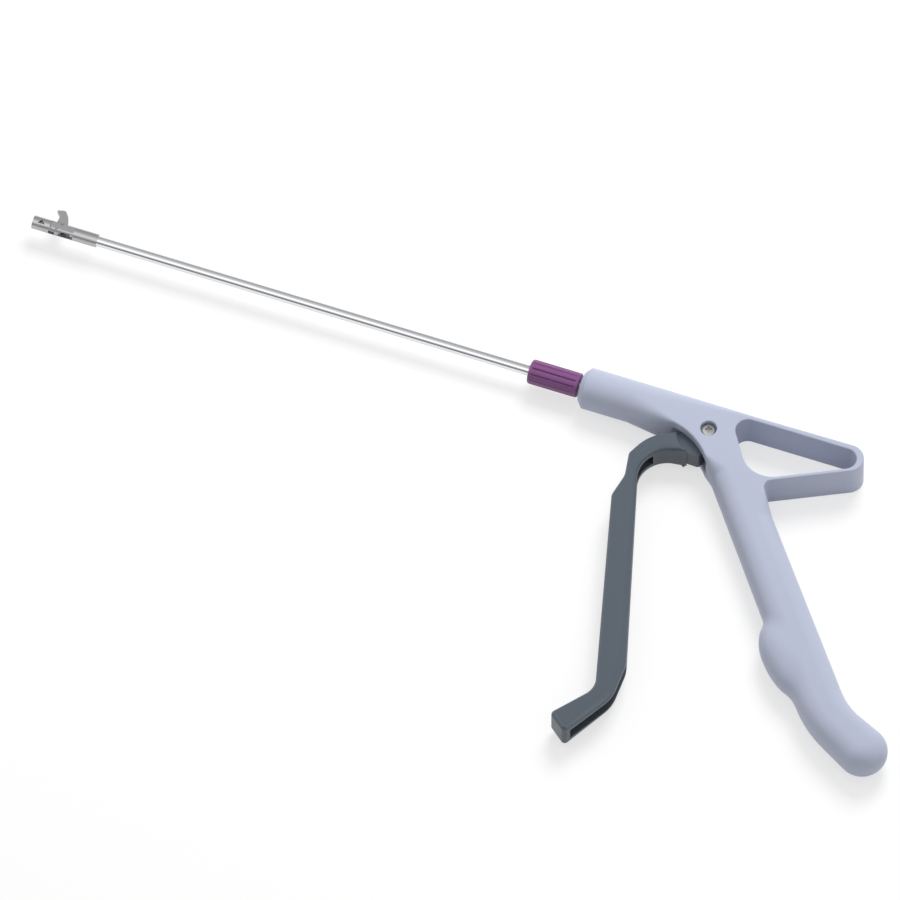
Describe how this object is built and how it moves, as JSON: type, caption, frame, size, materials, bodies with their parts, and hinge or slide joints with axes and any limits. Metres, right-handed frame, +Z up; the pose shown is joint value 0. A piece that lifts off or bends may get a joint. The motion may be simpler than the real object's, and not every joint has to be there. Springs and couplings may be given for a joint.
{
  "type": "cervical biopsy punch",
  "caption": "Cervical biopsy punch: pistol handle with thumb loop and squeeze lever, long rotating steel shaft, basket jaw and hooked biting jaw.",
  "frame": {"origin": "On the lever's pivot axis, in the plane that the handle's side rests on.", "axes": "+X from the jaws towards the grip, along the shaft; +Y away from the grip; +Z up from the table, along the lever's pivot."},
  "size_m": [0.4032, 0.1647, 0.0168],
  "materials": {
    "handle_plastic": "satin",
    "lever_plastic": "satin",
    "knob_plastic": "satin",
    "bush_plastic": "smooth",
    "bright_steel": "polished",
    "satin_steel": "satin",
    "plain_steel": "turned"
  },
  "bodies": {
    "handle": {"handle_body": "handle_plastic", "pivot_screw": "bright_steel", "pivot_nut": "plain_steel", "pivot_sleeve": "plain_steel", "front_bush": "bush_plastic", "rear_bush": "bush_plastic", "spring_washer": "plain_steel", "return_spring": "plain_steel"},
    "lever": {"squeeze_lever": "lever_plastic"},
    "rotor": {"shaft_tube": "bright_steel", "rotation_knob": "knob_plastic", "knob_set_screw": "plain_steel", "tube_collar": "plain_steel", "jaw_housing": "satin_steel", "fixed_jaw": "satin_steel", "jaw_pivot_pin": "plain_steel"},
    "rod": {"drive_rod": "plain_steel", "drive_spool": "plain_steel", "spool_nut": "plain_steel", "rod_fork": "satin_steel", "drive_pin": "plain_steel"},
    "jaw": {"moving_jaw": "satin_steel"}
  },
  "joints": [
    {"name": "lever_squeeze", "type": "hinge", "parent": "handle", "child": "lever", "pos_m": [0, 0, 0.0084], "axis": [0, 0, 1], "range_deg": [0, 28], "stiffness_Nm_per_rad": 0.06, "springref_deg": -34.38},
    {"name": "shaft_turn", "type": "hinge", "parent": "handle", "child": "rotor", "pos_m": [-0.1, 0.0064, 0.0084], "axis": [1, 0, 0], "continuous": true},
    {"name": "rod_slide", "type": "slide", "parent": "rotor", "child": "rod", "axis": [-1, 0, 0], "range_m": [0, 0.0032], "deforming": ["return_spring"]},
    {"name": "jaw_close", "type": "hinge", "parent": "rotor", "child": "jaw", "pos_m": [-0.27775, 0.0051, 0.0084], "axis": [0, 0, 1], "range_deg": [0, 66]}
  ],
  "couplings": [
    {"joint": "rod_slide", "follows": "lever_squeeze", "m_per_rad": 0.0065305},
    {"joint": "jaw_close", "follows": "lever_squeeze", "ratio": 2.3571}
  ]
}
